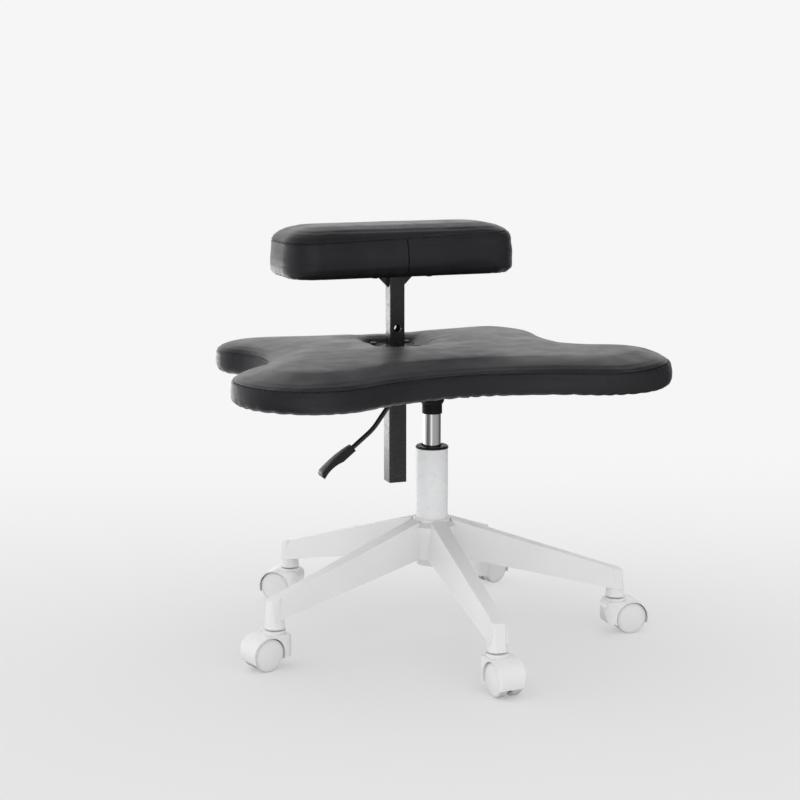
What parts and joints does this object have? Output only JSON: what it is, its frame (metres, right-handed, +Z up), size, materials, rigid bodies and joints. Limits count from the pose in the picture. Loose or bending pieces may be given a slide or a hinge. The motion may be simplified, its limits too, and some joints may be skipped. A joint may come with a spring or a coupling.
{
  "type": "kneeling chair",
  "caption": "Swivel chair for kneeling or cross-legged sitting: a lobed padded seat on a gas lift and caster star base, with a small pad on a sliding rear post.",
  "frame": {"origin": "on the floor under the gas lift's axis", "axes": "+Z up, the chair faces -Y, +X is to the left of someone sitting on it"},
  "size_m": [0.6897, 0.6368, 0.6355],
  "materials": {
    "white_nylon": "moulded white nylon, satin",
    "white_steel": "white powder coat",
    "black_plastic": "moulded, fine texture",
    "chrome": "polished",
    "steel": "zinc plated",
    "black_steel": "black powder coat",
    "plywood": "raw plywood",
    "dust_cloth": "black non-woven cloth",
    "leatherette": "black leatherette, a coated fabric, over foam"
  },
  "bodies": {
    "base": {"star_base": "white_nylon", "lift_column": "white_steel", "guide_bush": "black_plastic", "bearing_race": "steel", "stem_grip_rings": "steel"},
    "lift_rod": {"piston_rod": "steel", "bearing_balls": "steel", "retaining_clip": "steel"},
    "seat": {"gas_cylinder": "chrome", "taper_socket": "black_steel", "lift_plate": "black_steel", "lever_bracket": "black_steel", "lever_pivot": "steel", "plate_bolts": "steel", "seat_tee_nuts": "steel", "seat_board": "plywood", "seat_dust_cover": "dust_cloth", "lower_pad": "leatherette", "post_sleeve": "black_steel", "sleeve_flange": "black_steel", "flange_bolts": "steel", "lock_boss": "black_steel"},
    "lever": {"lever_rod": "black_steel", "lever_grip": "black_plastic"},
    "button": {"release_button": "steel"},
    "post": {"post": "black_steel", "post_top_plate": "black_steel", "post_gussets": "black_steel", "pad_board": "plywood", "pad_dust_cover": "dust_cloth", "upper_pad": "leatherette", "pad_screws": "steel"},
    "lock": {"lock_pin": "steel", "lock_knob": "black_plastic"},
    "caster_front": {"caster_front_hood": "white_nylon", "caster_front_stem": "steel", "caster_front_axle": "steel"},
    "caster_front_wheel_a": {"caster_front_wheel_a": "white_nylon"},
    "caster_front_wheel_b": {"caster_front_wheel_b": "white_nylon"},
    "caster_right": {"caster_right_hood": "white_nylon", "caster_right_stem": "steel", "caster_right_axle": "steel"},
    "caster_right_wheel_a": {"caster_right_wheel_a": "white_nylon"},
    "caster_right_wheel_b": {"caster_right_wheel_b": "white_nylon"},
    "caster_back_right": {"caster_back_right_hood": "white_nylon", "caster_back_right_stem": "steel", "caster_back_right_axle": "steel"},
    "caster_back_right_wheel_a": {"caster_back_right_wheel_a": "white_nylon"},
    "caster_back_right_wheel_b": {"caster_back_right_wheel_b": "white_nylon"},
    "caster_back_left": {"caster_back_left_hood": "white_nylon", "caster_back_left_stem": "steel", "caster_back_left_axle": "steel"},
    "caster_back_left_wheel_a": {"caster_back_left_wheel_a": "white_nylon"},
    "caster_back_left_wheel_b": {"caster_back_left_wheel_b": "white_nylon"},
    "caster_left": {"caster_left_hood": "white_nylon", "caster_left_stem": "steel", "caster_left_axle": "steel"},
    "caster_left_wheel_a": {"caster_left_wheel_a": "white_nylon"},
    "caster_left_wheel_b": {"caster_left_wheel_b": "white_nylon"}
  },
  "joints": [
    {"name": "seat_swivel", "type": "hinge", "parent": "base", "child": "lift_rod", "pos_m": [0, 0, 0.2], "axis": [0, 0, 1], "continuous": true},
    {"name": "seat_lift", "type": "slide", "parent": "lift_rod", "child": "seat", "axis": [0, 0, 1], "range_m": [-0.048, 0.05]},
    {"name": "lever_lift", "type": "hinge", "parent": "seat", "child": "lever", "pos_m": [-0.03995, -0.00209, 0.391], "axis": [-0.0523, 0.9986, 0], "range_deg": [0, 6.5], "stiffness_Nm_per_rad": 2, "springref_deg": -6.88},
    {"name": "button_press", "type": "slide", "parent": "seat", "child": "button", "axis": [0, 0, -1], "range_m": [0, 0.0048]},
    {"name": "post_height", "type": "slide", "parent": "seat", "child": "post", "axis": [0, 0, 1], "range_m": [-0.08, 0.08]},
    {"name": "lock_push", "type": "slide", "parent": "seat", "child": "lock", "axis": [0.0523, -0.9986, 0], "range_m": [0, 0.009]},
    {"name": "caster_front_swivel", "type": "hinge", "parent": "base", "child": "caster_front", "pos_m": [0, -0.29, 0.07], "axis": [0, 0, 1], "continuous": true},
    {"name": "caster_front_roll_a", "type": "hinge", "parent": "caster_front", "child": "caster_front_wheel_a", "pos_m": [0.00274, -0.31082, 0.025], "axis": [0.9914, 0.1305, 0], "continuous": true},
    {"name": "caster_front_roll_b", "type": "hinge", "parent": "caster_front", "child": "caster_front_wheel_b", "pos_m": [0.00274, -0.31082, 0.025], "axis": [0.9914, 0.1305, 0], "continuous": true},
    {"name": "caster_right_swivel", "type": "hinge", "parent": "base", "child": "caster_right", "pos_m": [0.27581, -0.08962, 0.07], "axis": [0, 0, 1], "continuous": true},
    {"name": "caster_right_roll_a", "type": "hinge", "parent": "caster_right", "child": "caster_right_wheel_a", "pos_m": [0.2968, -0.08998, 0.025], "axis": [0.0175, 0.9998, 0], "continuous": true},
    {"name": "caster_right_roll_b", "type": "hinge", "parent": "caster_right", "child": "caster_right_wheel_b", "pos_m": [0.2968, -0.08998, 0.025], "axis": [0.0175, 0.9998, 0], "continuous": true},
    {"name": "caster_back_right_swivel", "type": "hinge", "parent": "base", "child": "caster_back_right", "pos_m": [0.17046, 0.23461, 0.07], "axis": [0, 0, 1], "continuous": true},
    {"name": "caster_back_right_roll_a", "type": "hinge", "parent": "caster_back_right", "child": "caster_back_right_wheel_a", "pos_m": [0.18949, 0.24349, 0.025], "axis": [-0.4226, 0.9063, 0], "continuous": true},
    {"name": "caster_back_right_roll_b", "type": "hinge", "parent": "caster_back_right", "child": "caster_back_right_wheel_b", "pos_m": [0.18949, 0.24349, 0.025], "axis": [-0.4226, 0.9063, 0], "continuous": true},
    {"name": "caster_back_left_swivel", "type": "hinge", "parent": "base", "child": "caster_back_left", "pos_m": [-0.17046, 0.23461, 0.07], "axis": [0, 0, 1], "continuous": true},
    {"name": "caster_back_left_roll_a", "type": "hinge", "parent": "caster_back_left", "child": "caster_back_left_wheel_a", "pos_m": [-0.18723, 0.24725, 0.025], "axis": [-0.6018, -0.7986, 0], "continuous": true},
    {"name": "caster_back_left_roll_b", "type": "hinge", "parent": "caster_back_left", "child": "caster_back_left_wheel_b", "pos_m": [-0.18723, 0.24725, 0.025], "axis": [-0.6018, -0.7986, 0], "continuous": true},
    {"name": "caster_left_swivel", "type": "hinge", "parent": "base", "child": "caster_left", "pos_m": [-0.27581, -0.08962, 0.07], "axis": [0, 0, 1], "continuous": true},
    {"name": "caster_left_roll_a", "type": "hinge", "parent": "caster_left", "child": "caster_left_wheel_a", "pos_m": [-0.29566, -0.09645, 0.025], "axis": [0.3256, -0.9455, 0], "continuous": true},
    {"name": "caster_left_roll_b", "type": "hinge", "parent": "caster_left", "child": "caster_left_wheel_b", "pos_m": [-0.29566, -0.09645, 0.025], "axis": [0.3256, -0.9455, 0], "continuous": true}
  ],
  "couplings": [
    {"joint": "button_press", "follows": "lever_lift", "m_per_rad": 0.04}
  ]
}
